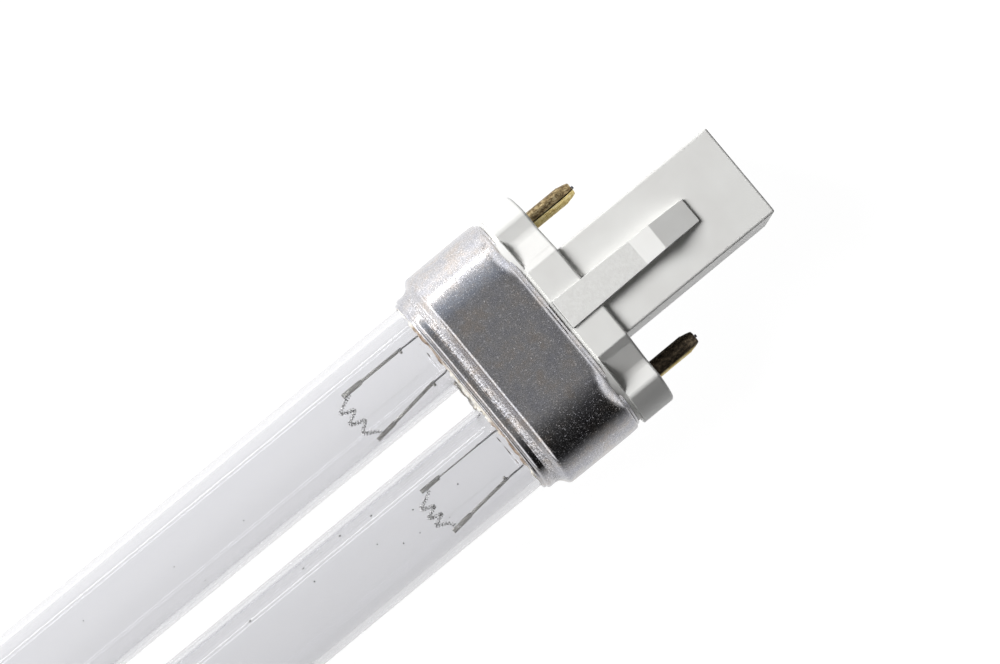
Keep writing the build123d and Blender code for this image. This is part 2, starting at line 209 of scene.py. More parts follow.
def drawn_metal():
    """Drawn aluminium: fine grain with painted glints, faint stains, streaks where the collar is drawn in.
    """
    metal = Finish("drawn_metal", Metallic=1.0)
    stains = [(0.34, (0.50, 0.50, 0.54)), (0.5, (0.57, 0.56, 0.575)), (0.66, (0.60, 0.55, 0.52))]
    stain = metal.ramp(metal.grain(2.6, 4.0, 0.7), stains)
    speckle = metal.ramp(metal.grain(0.13, 2.0, 0.75), [(0.36, 0.76), (0.52, 0.95), (0.66, 1.3)])
    # Painted glints: small spots where the colour is raised far above the metal's own, standing for
    # sparkle.
    painted_glints = metal.ramp(metal.cells(0.5), [(0.04, 2.4), (0.14, 1.0)])
    metal.colour(metal.mix(1.0, metal.mix(1.0, stain, speckle, "MULTIPLY"), painted_glints, "MULTIPLY"))
    drawn = metal.ramp(metal.grain(0.45, 3.0), [(0.3, 0.16), (0.7, 0.26)])
    metal.roughness(metal.mix(metal.stretch_of_lamp(-19, -15.8, 0.3), drawn, (0.13, 0.13, 0.13)))
    metal.bump(metal.grain(0.17, 3.0, 0.7), 0.45, 0.016)
    pimples = metal.ramp(metal.grain(0.2, 2.0, 0.7), [(0.62, 0.0), (0.74, 1.0)])
    metal.bump(pimples, 0.5, 0.02)
    streaks = metal.grain(0.3, 2.0, 0.6, (0.12, 1, 1))
    metal.bump(metal.maths("MULTIPLY", streaks, metal.stretch_of_lamp(-17.1, -16.6, 0.2)), 1.0, 0.22)
    return metal.material


def moulded_plastic():
    """Off-white moulding with a fine satin grain."""
    plastic = Finish("moulded_plastic", Specular_IOR_Level=0.4)
    tone = plastic.grain(5.0, 2.0)
    plastic.colour(plastic.ramp(tone, [(0.35, (0.79, 0.785, 0.765)), (0.65, (0.83, 0.83, 0.81))]))
    plastic.roughness(plastic.ramp(plastic.grain(0.3), [(0.3, 0.28), (0.7, 0.38)]))
    plastic.bump(plastic.grain(0.12, 2.0), 0.25, 0.01)
    return plastic.material


def grained_plastic():
    """The same moulding where the tool was left rough, on the latch ribs."""
    plastic = Finish("grained_plastic", Specular_IOR_Level=0.4)
    tone = plastic.grain(0.5, 3.0, 0.7)
    plastic.colour(plastic.ramp(tone, [(0.35, (0.77, 0.765, 0.745)), (0.65, (0.83, 0.83, 0.81))]))
    plastic.roughness(plastic.ramp(plastic.grain(0.25), [(0.3, 0.4), (0.7, 0.6)]))
    plastic.bump(plastic.grain(0.35, 3.0, 0.7), 0.7, 0.05)
    return plastic.material


def tarnished_brass(name, highlight_from, highlight_to, gold, patina_shades):
    """Brass under brown patina, with a painted highlight in gold along one side, between two places across
    the lamp.
    """
    brass = Finish(name, Metallic=1.0)
    across = brass.parts(brass.place)[1]
    # Painted highlight: the brass turns gold along one side of the pin, by its place across the lamp.
    painted_highlight = brass.spread(across, highlight_from * MM, highlight_to * MM)
    patina = brass.grain(0.3, 4.0, 0.7, (0.6, 1, 1))
    dull = brass.ramp(patina, list(zip((0.38, 0.52, 0.68), patina_shades)))
    clear = brass.ramp(patina, [(0.34, (0.5, 0.36, 0.13)), (0.5, gold), (0.66, (0.9, 0.8, 0.5))])
    brass.colour(brass.mix(painted_highlight, dull, clear))
    brass.roughness(brass.ramp(brass.grain(0.3), [(0.3, 0.5), (0.7, 0.3)]))
    brass.bump(brass.grain(0.2, 3.0, 0.7), 0.4, 0.02)
    return brass.material


def baked_cement():
    """Basing cement: brown where it is baked against the tubes, cream between them and at the ends."""
    cement = Finish("baked_cement", Specular_IOR_Level=0.3)
    tone = cement.grain(1.3, 5.0, 0.65)
    browns = [(0.36, (0.14, 0.09, 0.06)), (0.52, (0.33, 0.25, 0.19)), (0.66, (0.66, 0.60, 0.53))]
    creams = [(0.34, (0.50, 0.41, 0.28)), (0.44, (0.80, 0.76, 0.68)), (0.6, (0.88, 0.87, 0.84))]
    ends = [(0.02, 0.9), (0.06, 0.1), (0.9, 0.0), (0.95, 0.9)]
    between = [(0.3, 0.0), (0.36, 0.9), (0.64, 0.9), (0.7, 0.1)]
    across = cement.spread(cement.parts(cement.place)[1], -12 * MM, 12 * MM)
    pale = cement.ramp(across, sorted(ends + between))
    cement.colour(cement.mix(pale, cement.ramp(tone, browns), cement.ramp(tone, creams)))
    cement.roughness(cement.ramp(cement.grain(0.4), [(0.3, 0.55), (0.7, 0.85)]))
    cement.bump(cement.grain(0.3, 4.0, 0.75), 0.8, 0.12)
    return cement.material


def plain_metal(name, dark, light, rough, grain_size):
    """A small metal part: its colour, roughness and surface vary with a fine grain."""
    metal = Finish(name, Metallic=1.0)
    metal.colour(metal.ramp(metal.grain(grain_size, 3.0, 0.6), [(0.35, dark), (0.65, light)]))
    metal.roughness(metal.ramp(metal.grain(grain_size * 2), [(0.3, rough), (0.7, rough + 0.18)]))
    metal.bump(metal.grain(grain_size * 0.6, 2.0), 0.3, 0.01)
    return metal.material


def coated_tungsten():
    """The cathodes' fine coil under its chalky white coat, darkened in patches by painted shade for the
    gaps between the turns.
    """
    coil = Finish("coated_tungsten", Specular_IOR_Level=0.3)
    # The white is the coat; the dark end of the ramp is painted shade for the shadow between the coil's
    # turns.
    coat_and_painted_shade = [(0.42, (0.10, 0.10, 0.10)), (0.53, (0.88, 0.88, 0.86))]
    coil.colour(coil.ramp(coil.grain(0.22, 2.0, 0.6), coat_and_painted_shade))
    coil.roughness(coil.ramp(coil.grain(0.2), [(0.3, 0.5), (0.7, 0.8)]))
    coil.bump(coil.grain(0.1, 2.0), 0.3, 0.01)
    return coil.material


def woven_sleeve():
    """Braided glass-fibre sleeve."""
    sleeve = Finish("woven_sleeve", Specular_IOR_Level=0.3, Roughness=0.8)
    weave = sleeve.cells(0.25)
    sleeve.colour(sleeve.ramp(weave, [(0.1, (0.87, 0.84, 0.76)), (0.6, (0.62, 0.58, 0.5))]))
    sleeve.bump(weave, 0.6, 0.05)
    return sleeve.material


def dipped_resin():
    """The capacitor's dipped coat."""
    resin = Finish("dipped_resin", Coat_Weight=0.4, Coat_Roughness=0.15)
    resin.colour(resin.ramp(resin.grain(1.5), [(0.3, (0.55, 0.27, 0.06)), (0.7, (0.68, 0.36, 0.1))]))
    resin.roughness(resin.ramp(resin.grain(0.8), [(0.3, 0.25), (0.7, 0.4)]))
    resin.bump(resin.grain(1.2), 0.3, 0.05)
    return resin.material


def soot():
    """Specks of sputtered metal and dust on the glass."""
    speck = Finish("soot", Specular_IOR_Level=0.2)
    speck.colour(speck.ramp(speck.grain(0.05), [(0.3, (0.015, 0.015, 0.017)), (0.7, (0.07, 0.065, 0.06))]))
    speck.roughness(speck.ramp(speck.grain(0.08), [(0.3, 0.6), (0.7, 0.9)]))
    return speck.material


QUARTZ = quartz("quartz", (0.825, 0.825, 0.84), 0.02)
STARTER_GLASS = quartz("starter_glass", (0.9, 0.92, 0.93), 0.1)
SHELL_METAL = drawn_metal()
PLASTIC = moulded_plastic()
RIB_PLASTIC = grained_plastic()
BROWN_PATINA = ((0.10, 0.07, 0.04), (0.30, 0.22, 0.11), (0.66, 0.55, 0.33))
# Pin b's brass is a darker copy of pin a's: patina with painted shade, and its gold painted darker too, for
# the side away from the light.
PATINA_IN_PAINTED_SHADE = ((0.03, 0.024, 0.018), (0.075, 0.058, 0.04), (0.17, 0.135, 0.09))
BRASS_A = tarnished_brass("brass_a", 11.3, 11.1, (0.80, 0.66, 0.30), BROWN_PATINA)
BRASS_B = tarnished_brass("brass_b", -12.3, -12.55, (0.6, 0.48, 0.2), PATINA_IN_PAINTED_SHADE)
CEMENT = baked_cement()
NICKEL = plain_metal("nickel_strip", (0.24, 0.235, 0.22), (0.46, 0.45, 0.42), 0.4, 0.12)
POST_WIRE = plain_metal("post_wire", (0.2, 0.2, 0.2), (0.42, 0.42, 0.42), 0.35, 0.2)
TUNGSTEN = coated_tungsten()
COPPER = plain_metal("oxidised_copper", (0.28, 0.15, 0.08), (0.5, 0.3, 0.18), 0.45, 0.3)
CUT_WIRE = plain_metal("cut_wire", (0.1, 0.1, 0.11), (0.38, 0.38, 0.43), 0.35, 0.2)
MERCURY = plain_metal("mercury_metal", (0.76, 0.76, 0.78), (0.84, 0.84, 0.86), 0.05, 0.8)
SLEEVE = woven_sleeve()
RESIN = dipped_resin()
SOOT = soot()


# Making pieces
def piece(bm, name, finishes, nodes=(), crease=35, flat=False):
    """Puts a mesh made in millimetres in its place, with its finishes and its body.

    Edges sharper than crease degrees stay sharp, and flat keeps large faces even.
    """
    for face in bm.faces:
        face.smooth = True
    for edge in bm.edges:
        if len(edge.link_faces) == 2 and edge.calc_face_angle(0) > math.radians(crease):
            edge.smooth = False
    bmesh.ops.transform(bm, matrix=LAMP, verts=bm.verts)
    mesh = bpy.data.meshes.new(name)
    bm.to_mesh(mesh)
    bm.free()
    for finish in finishes:
        mesh.materials.append(finish)
    obj = bpy.data.objects.new(name, mesh)
    scene.collection.objects.link(obj)
    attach(obj, "root")
    if nodes:
        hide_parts(*nodes)
    if flat:
        obj.modifiers.new("flat_faces", "WEIGHTED_NORMAL").keep_sharp = True


FULL_TURN = 2 * math.pi


def turned(bm, outline, across=0.0, steps=64, start=0.0, sweep=FULL_TURN, closed=False):
    """Spins an outline of (station, radius) round the line at that place across. Returns its faces."""
    before = set(bm.faces)
    turn = Matrix.Rotation(start, 4, "X")
    shift = Vector((0, across, 0))
    verts = [bm.verts.new(turn @ Vector((x, 0, r)) + shift) for x, r in outline]
    edges = [bm.edges.new(pair) for pair in zip(verts, verts[1:])]
    if closed:
        edges.append(bm.edges.new((verts[-1], verts[0])))
    bmesh.ops.spin(
        bm, geom=verts + edges, cent=shift, axis=(1, 0, 0), dvec=(0, 0, 0), angle=sweep, steps=steps,
        use_merge=sweep == FULL_TURN, use_normal_flip=False, use_duplicate=False,
    )
    return [face for face in bm.faces if face not in before]


def arc(centre, radius, start, stop, steps):
    """Points (x, r) on an arc, angles in degrees from +X towards +r."""
    angles = [math.radians(start + (stop - start) * i / steps) for i in range(steps + 1)]
    return [(centre[0] + radius * math.cos(a), centre[1] + radius * math.sin(a)) for a in angles]


def tidy(bm):
    """Closes seams and poles and turns the faces outwards."""
    bmesh.ops.remove_doubles(bm, verts=bm.verts, dist=2e-4)
    bmesh.ops.dissolve_degenerate(bm, edges=bm.edges, dist=1e-5)
    bmesh.ops.recalc_face_normals(bm, faces=bm.faces)
    return bm


def bevelled(bm, edges, width, segments):
    """Rounds edges over width millimetres."""
    bmesh.ops.bevel(
        bm, geom=list(edges), offset=width, offset_type="OFFSET", affect="EDGES", segments=segments,
        profile=0.5, material=-1, clamp_overlap=True,
    )


def combined(first, second, operation):
    """The Boolean of two closed meshes, as one mesh. Both are used up."""
    solids = []
    for bm in (first, second):
        mesh = bpy.data.meshes.new("form")
        bm.to_mesh(mesh)
        bm.free()
        obj = bpy.data.objects.new("form", mesh)
        scene.collection.objects.link(obj)
        solids.append(obj)
    cut = solids[0].modifiers.new("cut", "BOOLEAN")
    cut.operation = operation
    cut.object = solids[1]
    cut.solver = "EXACT"
    result = bmesh.new()
    result.from_object(solids[0], bpy.context.evaluated_depsgraph_get())
    for obj in solids:
        mesh = obj.data
        bpy.data.objects.remove(obj)
        bpy.data.meshes.remove(mesh)
    return result


def box_of(bm, low, high, matrix=Matrix.Identity(4)):
    """A box between two corners. Returns its verts."""
    low, high = Vector(low), Vector(high)
    size = high - low
    place = matrix @ Matrix.Translation((low + high) / 2) @ Matrix.Diagonal((*size, 1))
    return bmesh.ops.create_cube(bm, size=1, matrix=place)["verts"]


def smoothstep(t):
    """0 to 1 with soft ends, for t from 0 to 1."""
    t = min(max(t, 0.0), 1.0)
    return t * t * (3 - 2 * t)


# Glass envelope: two legs, the bridge between them, and their pressed ends
GLASS_END = -144.7
TUBE_RADIUS = 6.0
TUBE_OFFSET = 7.5
WALL = 0.95
END_RADIUS = 4.2
TUBE_RINGS = [-137, -133, -128, -100, -60, -30, -21]
ROUND_END = -19.4
# The press outside and inside: where it starts, where it is flat, half its thickness and its end
PRESS_OUTSIDE = (ROUND_END, -15.2, 1.5, -11.6)
PRESS_INSIDE = (ROUND_END + 0.5, -16.1, 0.25, -16.1)
PRESS_STEPS = 14
PRESS_SQUARENESS = 0.55


def leg(bm, across, inset):
    """One leg's outer form, or its cavity where inset is the wall."""
    radius = TUBE_RADIUS - inset
    corner = END_RADIUS - inset
    far = GLASS_END + inset
    flat_from, flat_to, half, last = PRESS_INSIDE if inset else PRESS_OUTSIDE
    press = [flat_from + (flat_to - flat_from) * i / PRESS_STEPS for i in range(PRESS_STEPS + 1)]
    outline = [(far, 0)] + arc((far + corner, radius - corner), corner, 180, 90, 10)
    outline += [(x, radius) for x in TUBE_RINGS + press]
    if not inset:
        outline.append((last, radius))
    outline.append((last, 0))
    faces = turned(bm, outline, across, 96)
    for vert in {v for face in faces for v in face.verts}:
        t = smoothstep((vert.co.x - flat_from) / (flat_to - flat_from))
        height = radius + (half - radius) * t
        share = min(abs(vert.co.z) / radius, 1.0)
        vert.co.z = math.copysign(height * share ** (1 - PRESS_SQUARENESS * t), vert.co.z)


def both_legs(inset):
    """Both legs, or both cavities where inset is the wall."""
    bm = bmesh.new()
    for across in (TUBE_OFFSET, -TUBE_OFFSET):
        leg(bm, across, inset)
    return tidy(bm)


BRIDGE_STATION = GLASS_END + 9.0
BRIDGE_REACH, BRIDGE_WAIST, BRIDGE_ROOT, BRIDGE_FLARE = 6.2, 3.55, 0.5, 1.3


def bridge(inset):
    """The blown cross tube, a little flared where it meets the legs."""
    bm = bmesh.new()
    waist = BRIDGE_WAIST - inset
    outline = [(-BRIDGE_REACH, 0), (-BRIDGE_REACH, waist + BRIDGE_ROOT)]
    for i in range(-12, 13):
        y = i * 0.25
        outline.append((y, waist + BRIDGE_FLARE * smoothstep((abs(y) - 0.7) / 2.0)))
    outline += [(BRIDGE_REACH, waist + BRIDGE_ROOT), (BRIDGE_REACH, 0)]
    turned(bm, outline)
    bmesh.ops.rotate(bm, verts=bm.verts, cent=(0, 0, 0), matrix=Matrix.Rotation(math.pi / 2, 3, "Z"))
    bmesh.ops.translate(bm, verts=bm.verts, vec=(BRIDGE_STATION, 0, 0))
    return tidy(bm)


def exhaust_stub():
    """The sealed-off tip of the exhaust tube, inside the cap."""
    bm = bmesh.new()
    outline = [(-12.2, 0), (-12.2, 1.3), (-10.2, 1.3), (-9.3, 1.0), (-8.75, 0.5), (-8.6, 0)]
    turned(bm, outline, -TUBE_OFFSET, 32)
    return tidy(bm)


outer_glass = combined(both_legs(0), bridge(0), "UNION")
cavity = combined(both_legs(WALL), bridge(WALL), "UNION")
glass = combined(outer_glass, cavity, "DIFFERENCE")
glass = combined(glass, exhaust_stub(), "UNION")
piece(glass, "glass_tubes", [QUARTZ], ["glass_envelope"], 50)


# Specks on the lower walls of the tubes: station, place across and size
SPECKS = [
    (-41.0, -2.6, 0.16), (-46.8, -2.8, 0.12), (-46.8, -4.9, 0.11), (-55.7, -3.6, 0.17), (-44.0, -2.7, 0.08),
    (-36.6, -3.1, 0.13), (-35.7, -8.3, 0.1), (-32.3, -5.8, 0.09), (-48.7, 5.9, 0.09), (-58.6, 7.0, 0.08),
    (-56.7, 3.0, 0.09), (-27.4, -4.6, 0.12), (-26.2, -6.9, 0.1), (-33.4, -8.6, 0.08), (-38.2, -6.3, 0.08),
    (-29.5, -9.5, 0.07), (-64.0, -10.2, 0.09), (-71.0, 9.0, 0.08), (-86.0, -5.0, 0.1), (-97.0, 6.0, 0.09),
]
for number, (station, across, size) in enumerate(SPECKS):
    bm = bmesh.new()
    tube = math.copysign(TUBE_OFFSET, across)
    inner = TUBE_RADIUS - WALL
    height = math.sqrt(max(inner**2 - (across - tube) ** 2, 0.04))
    bmesh.ops.create_icosphere(bm, subdivisions=2, radius=size)
    for vert in bm.verts:
        vert.co *= 1 + 0.45 * noise.noise(vert.co * (2.2 / size) + Vector((number, 0, 0)))
        vert.co.z *= 0.6
    bmesh.ops.translate(bm, verts=bm.verts, vec=(station, across, -height + size * 0.3))
    piece(bm, f"speck_{number:02d}", [SOOT], crease=60)


# Electrodes: wire, strip and folded clamp
POST_START = -14
LYING, ON_EDGE = 8, 78


def electrode(name, node, start, kink, tip, turn, tab):
    """A post from the press through its kink, where the strip is welded on, to the clamp's tip.

    turn rolls the strip, in degrees. tab is the weld's place across the strip, from low to high.
    """
    bm = bmesh.new()
    start, kink, tip = (Vector((x, y, 0)) for x, y in (start, kink, tip))
    for a, b, radius in ((Vector((POST_START, start.y, 0)), start, 0.12), (start, kink, 0.11)):
        along = b - a
        place = Matrix.Translation((a + b) / 2) @ along.to_track_quat("Z", "Y").to_matrix().to_4x4()
        bmesh.ops.create_cone(
            bm, cap_ends=True, segments=20, radius1=radius, radius2=radius, depth=along.length + 0.1,
            matrix=place,
        )
    along = tip - kink
    length = along.length
    place = Matrix.Translation(kink) @ along.to_track_quat("X", "Z").to_matrix().to_4x4()
    place = place @ Matrix.Rotation(math.radians(turn), 4, "X")
    clamp = length - 2.9
    strip = ((-0.45, -0.2, -0.07), (length - 2.3, 0.2, 0.07), 0.04, 2)
    clamp_top = ((clamp, -0.27, 0.09), (length, 0.29, 0.25), 0.055, 3)
    clamp_bottom = ((clamp + 0.15, -0.27, -0.25), (length, 0.29, -0.09), 0.055, 3)
    clamp_fold = ((clamp + 0.3, 0.17, -0.25), (length, 0.3, 0.25), 0.055, 3)
    weld = ((-0.3, tab[0], -0.1), (0.05, tab[1], 0.1), 0.06, 2)
    for low, high, rounding, segments in (strip, clamp_top, clamp_bottom, clamp_fold, weld):
        verts = box_of(bm, low, high, place)
        bevelled(bm, {e for v in verts for e in v.link_edges}, rounding, segments)
    for face in bm.faces:
        face.material_index = 1 if (place.inverted() @ face.calc_center_median()).x < -0.5 else 0
    piece(tidy(bm), name, [NICKEL, POST_WIRE], [node], 40)


TAB_A, TAB_B = (0.1, 0.5), (-0.5, -0.1)
electrode("post_a1", "electrode_post_a1", (-20.2, 9.55), (-21.7, 9.6), (-30.3, 9.6), LYING, TAB_A)
electrode("post_a2", "electrode_post_a2", (-18.5, 4.1), (-21.1, 4.05), (-30.3, 2.95), LYING, TAB_A)
electrode("post_b1", "electrode_post_b1", (-20.2, -5.05), (-21.7, -5.05), (-30.3, -5.05), ON_EDGE, TAB_B)
electrode("post_b2", "electrode_post_b2", (-18.7, -10.3), (-21.7, -10.35), (-30.3, -11.1), LYING, TAB_B)


# Cathodes: the coil's pitch, its radius, its points per turn and its wire's radius
COIL_PITCH, COIL_RADIUS, COIL_STEPS, COIL_WIRE = 0.36, 0.17, 12, 0.08


def filament(name, node, path, seed):
    """A cathode: a fine coiled wire that itself follows a few wide turns."""
    guide_data = bpy.data.curves.new("guide", "CURVE")
    guide_data.dimensions = "3D"
    spline = guide_data.splines.new("NURBS")
    spline.points.add(len(path) - 1)
    for point, place in zip(spline.points, path):
        point.co = (*place, 1)
    spline.order_u = 3
    spline.use_endpoint_u = True
    spline.resolution_u = 12
    guide = bpy.data.objects.new("guide", guide_data)
    scene.collection.objects.link(guide)
    guide_mesh = bpy.data.meshes.new_from_object(guide)
    line = [v.co.copy() for v in guide_mesh.vertices]
    bpy.data.objects.remove(guide)
    bpy.data.curves.remove(guide_data)
    bpy.data.meshes.remove(guide_mesh)
    wound, travelled, side = [], 0.0, Vector((0, 0, 1))
    for a, b in zip(line, line[1:]):
        along = b - a
        length = along.length
        along.normalize()
        side = (side - along * side.dot(along)).normalized()
        other = along.cross(side)
        count = max(1, round(length / (COIL_PITCH / COIL_STEPS)))
        for i in range(count):
            reach = travelled + length * i / count
            angle = FULL_TURN * reach / COIL_PITCH
            outwards = side * math.cos(angle) + other * math.sin(angle)
            loose = COIL_RADIUS * (1 + 0.12 * math.sin(reach * 1.7 + seed))
            wound.append(a + along * (length * i / count) + outwards * loose)
        travelled += length
    curve = bpy.data.curves.new(name, "CURVE")
    curve.dimensions = "3D"
    curve.bevel_depth = COIL_WIRE
    curve.bevel_resolution = 1
    curve.use_fill_caps = True
    wire = curve.splines.new("POLY")
    wire.points.add(len(wound) - 1)
    for point, place in zip(wire.points, wound):
        point.co = (*place, 1)
    holder = bpy.data.objects.new(name + "_line", curve)
    scene.collection.objects.link(holder)
    bm = bmesh.new()
    bm.from_mesh(bpy.data.meshes.new_from_object(holder))
    bpy.data.objects.remove(holder)
    piece(bm, name, [TUNGSTEN], [node], 80)


filament(
    "filament_a", "cathode_coil_a",
    [
        (-29.3, 9.3, -0.1), (-30.0, 9.1, 0.2), (-31.0, 8.6, 0.55), (-31.9, 8.2, 0.1),
        (-31.2, 7.9, -0.75), (-30.1, 7.6, -0.2), (-30.5, 7.1, 0.75), (-31.7, 6.7, 0.3),
        (-31.4, 6.2, -0.75), (-29.9, 5.9, -0.3), (-30.2, 5.4, 0.75), (-31.2, 4.9, 0.4),
        (-30.9, 4.4, -0.3), (-29.9, 4.0, -0.2), (-29.2, 3.4, 0.0),
    ],
    0.3,
)
filament(
    "filament_b", "cathode_coil_b",
    [
        (-29.3, -5.4, -0.1), (-30.1, -6.0, 0.3), (-31.0, -6.35, 0.5), (-31.7, -6.6, 0.0),
        (-31.1, -6.9, -0.75), (-30.0, -7.3, -0.2), (-30.5, -7.6, 0.75), (-31.6, -7.9, 0.2),
        (-31.2, -8.3, -0.75), (-29.9, -8.5, -0.2), (-30.4, -8.85, 0.75), (-31.6, -9.2, 0.2),
        (-30.9, -9.6, -0.4), (-30.1, -9.9, -0.2), (-29.7, -10.6, 0.0), (-29.3, -11.4, 0.1),
    ],
    1.9,
)


# Metal shell: drawn to a stadium, with a stepped collar, a round nose, a curled rim and four crimp dents
END_OFFSET = 6.1
SHELL_WALL = 0.35
COLLAR = 8.25
BODY = 9.5
RIM = -4.6
STRAIGHT_STEPS = 8


def stadium(bm, outline, closed, steps=48):
    """Turns an outline round both ends of the stadium and runs it straight between them."""
    faces = turned(bm, outline, END_OFFSET, steps, 0.0, -math.pi, closed)
    edges = {e for f in faces for e in f.edges}
    open_edges = [e for e in edges if len(e.link_faces) == 1]
    ends = [e for e in open_edges if all(abs(v.co.y - END_OFFSET) < 1e-4 for v in e.verts)]
    for _ in range(STRAIGHT_STEPS):
        made = bmesh.ops.extrude_edge_only(bm, edges=ends)["geom"]
        moved = [v for v in made if isinstance(v, bmesh.types.BMVert)]
        bmesh.ops.translate(bm, verts=moved, vec=(0, -END_OFFSET / STRAIGHT_STEPS, 0))
        ends = [e for e in made if isinstance(e, bmesh.types.BMEdge)]
    geom = bm.verts[:] + bm.edges[:] + bm.faces[:]
    bmesh.ops.mirror(bm, geom=geom, matrix=Matrix.Identity(4), merge_dist=1e-4, axis="Y")
    return tidy(bm)


# Stations with their depth below the collar's or the body's height
LIP_AND_GROOVE = [
    (-18.3, 0.66), (-18.6, 0.66), (-18.69, 0.56), (-18.7, 0.46), (-18.68, 0.41), (-18.58, 0.375),
    (-18.46, 0.335), (-18.41, 0.36), (-18.36, 0.34),
]
NOSE = [(-18.3, 0.2), (-18.22, 0.115), (-18.12, 0.055), (-18.02, 0.02), (-17.92, 0.003)]
WAIST = [(-17.8, 0.0), (-17.6, 0.02), (-17.45, 0.02)]
RIM_EDGE = [
    (-6.35, 0.01), (-6.1, 0.024), (-5.88, 0.04), (-5.72, 0.056), (-5.62, 0.08), (-5.53, 0.12),
    (-5.45, 0.18), (-5.39, 0.26), (-5.35, 0.35),
]
BEAD = [(-5.28, 0.38), (-5.16, 0.385), (-5.07, 0.42), (-5.0, 0.5)]
CURL = [(-5.05, 0.58), (-5.25, 0.62), (-5.6, 0.58), (-6.0, 0.46)]


def shell_outline():
    """The wall's section, from the collar's lip over the body to the rim and back along the inside."""
    collar = [(x, COLLAR - depth) for x, depth in LIP_AND_GROOVE + NOSE + WAIST]
    flank = arc((-17.32, COLLAR + 1.18), 1.2, 270, 311, 9) + arc((-15.5, BODY - 0.8), 0.75, 132, 90, 8)
    body = [(-15.2 + 0.9 * i, BODY - 0.05 + 0.008 * i) for i in range(7)]
    body += [(-9.1 + 0.28 * i, BODY) for i in range(9)]
    rim = [(x, BODY - depth) for x, depth in RIM_EDGE + BEAD + CURL]
    inner = [(-6.5 - 0.6 * i, BODY - SHELL_WALL) for i in range(6)]
    inner += [(-14.8, BODY - SHELL_WALL), (-15.5, BODY - 0.55), (-16.65, COLLAR - SHELL_WALL)]
    inner += [(-18.1, COLLAR - SHELL_WALL)]
    return collar + flank + body + rim + inner


# The middle of each crimp, its depth, its width across and its reach to the collar's side and to the rim's
CRIMP_STATION, CRIMP_ACROSS = -5.3, 10.2
CRIMP_DEPTH, CRIMP_WIDTH, CRIMP_REACH_IN, CRIMP_REACH_OUT = 0.45, 1.9, 0.8, 1.6
CRIMPED_FROM = -9.5


def crimp(co):
    """How far a point of the shell is pressed in, in millimetres."""
    along = co.x - CRIMP_STATION
    around = abs(co.y) - CRIMP_ACROSS
    reach = CRIMP_REACH_IN if along < 0 else CRIMP_REACH_OUT
    return CRIMP_DEPTH * (math.exp(-((around / CRIMP_WIDTH) ** 2)) * math.exp(-((along / reach) ** 2)))


bm = bmesh.new()
stadium(bm, shell_outline(), True)
for vert in bm.verts:
    if vert.co.x > CRIMPED_FROM:
        beyond_straight = math.copysign(max(abs(vert.co.y) - END_OFFSET, 0), vert.co.y)
        outwards = Vector((0, beyond_straight, vert.co.z)).normalized()
        vert.co -= outwards * crimp(vert.co)
    wobble = noise.noise(vert.co * 0.35) * 0.035
    vert.co += Vector((0, 0, math.copysign(wobble, vert.co.z)))
piece(tidy(bm), "drawn_shell", [SHELL_METAL], ["metal_shell"], 60)


# Basing cement: a crusty fill between the collar and the glass, standing a little out of the collar
CEMENT_RADIUS = COLLAR - SHELL_WALL - 0.03
CEMENT_BACK, CEMENT_FRONT = -14.8, -18.8
CRUST_GRID = 0.36
CRUST_IN, CRUST_OUT = -0.12, 0.2


def at_the_front(place):
    """Whether a place is on the cement's flat front, before the crust is raised."""
    return place.x < CEMENT_FRONT + 0.02


bm = bmesh.new()
outline = [(CEMENT_FRONT, 0), (CEMENT_FRONT, CEMENT_RADIUS - 0.7), (-18.65, CEMENT_RADIUS - 0.45)]
outline += [(-18.35, CEMENT_RADIUS - 0.4), (-18.1, CEMENT_RADIUS)]
outline += [(CEMENT_BACK, CEMENT_RADIUS), (CEMENT_BACK, 0)]
stadium(bm, outline, False, 40)
bm = combined(bm, both_legs(0), "DIFFERENCE")
for step in range(-38, 39):
    for normal, at in (((0, 1, 0), (0, step * CRUST_GRID, 0)), ((0, 0, 1), (0, 0, step * CRUST_GRID))):
        if abs(at[2]) < CEMENT_RADIUS:
            front = [f for f in bm.faces if at_the_front(f.calc_center_median())]
            verts = list({v for f in front for v in f.verts})
            edges = list({e for f in front for e in f.edges})
            bmesh.ops.bisect_plane(bm, geom=verts + edges + front, plane_co=at, plane_no=normal, dist=1e-4)
for vert in bm.verts:
    if at_the_front(vert.co):
        from_axis = math.hypot(abs(vert.co.y) - TUBE_OFFSET, vert.co.z)
        lumps = 0.5 * noise.noise(vert.co * 1.1) + 0.3 * noise.noise(vert.co * 3.1)
        creep = 0.2 * math.exp(-max(from_axis - TUBE_RADIUS, 0) / 0.4)
        vert.co.x -= max(CRUST_IN, min(CRUST_OUT, lumps * 0.8 + creep + CRUST_IN))
bmesh.ops.triangulate(bm, faces=[f for f in bm.faces if len(f.verts) > 4])
piece(bm, "cement_fill", [CEMENT], ["basing_cement"], 70)


# Plug moulding: flange with its valleys, skirt, block and latch ribs
FLANGE = 9.5
FLANGE_BACK = RIM + 0.1
SHOULDER = FLANGE - 0.2
SHOULDER_HALF, VALLEY_IN, VALLEY_MIDDLE, VALLEY_OUT, VALLEY_FLOOR = 6.45, 7.3, 10.15, 12.4, 6.55
# How far each of the flange's long edges is rounded, by its place across
FLANGE_ROUNDING = ((VALLEY_OUT, 0.35), (VALLEY_MIDDLE, 0.6), (VALLEY_IN, 0.25), (SHOULDER_HALF, 0.14))


def valley_outline():
    """A quarter of the flange's section from the top middle to the side, as (across, height)."""
    foot = (VALLEY_IN, SHOULDER - (VALLEY_IN - SHOULDER_HALF))
    crease = (VALLEY_OUT, math.sqrt(FLANGE**2 - (VALLEY_OUT - END_OFFSET) ** 2))
    points = [(0, SHOULDER), (SHOULDER_HALF, SHOULDER), foot, (VALLEY_MIDDLE, VALLEY_FLOOR), crease]
    top = math.degrees(math.atan2(crease[1], crease[0] - END_OFFSET))
    return points + arc((END_OFFSET, 0), FLANGE, top, 0, 14)[1:]


